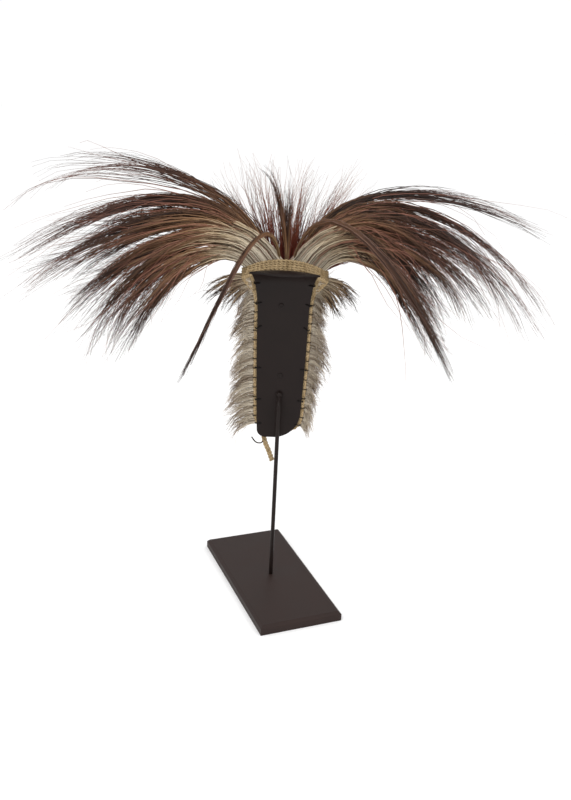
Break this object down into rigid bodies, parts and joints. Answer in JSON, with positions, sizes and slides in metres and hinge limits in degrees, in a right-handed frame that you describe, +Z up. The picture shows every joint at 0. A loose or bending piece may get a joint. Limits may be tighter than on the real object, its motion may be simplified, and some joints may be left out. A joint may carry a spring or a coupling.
{
  "type": "roach headdress on stand",
  "caption": "Roach headdress of long brown guard hair on a tongue-shaped woven base, tied to a curved plate on a bent rod over a flat rectangular foot.",
  "frame": {"origin": "centre of the foot's underside, on the surface it stands on", "axes": "+Z up; -Y the way the plate's hollow face looks; +X to the right as seen from that side, along the spread of the plumes"},
  "size_m": [0.5181, 0.2206, 0.4081],
  "materials": {
    "painted_foot": "matte",
    "painted_mount": "satin",
    "tan_fibre": "matte",
    "pale_hair": "matte",
    "guard_hair": "satin",
    "tipped_hair": "matte",
    "dyed_hair": "matte"
  },
  "bodies": {
    "root": {"stand_base": "painted_foot", "mount": "painted_mount", "rivet_upper": "painted_mount", "rivet_lower": "painted_mount", "woven_base": "tan_fibre", "fringe_left": "pale_hair", "fringe_right": "pale_hair", "plume_left": "guard_hair", "plume_right": "guard_hair", "front_lock_left": "guard_hair", "front_lock_right": "guard_hair", "centre_tuft": "guard_hair", "under_fringe_left": "tipped_hair", "under_fringe_right": "tipped_hair", "inner_hair": "dyed_hair", "crest_left": "guard_hair", "crest_right": "guard_hair", "tail_braid": "tan_fibre"}
  },
  "joints": []
}
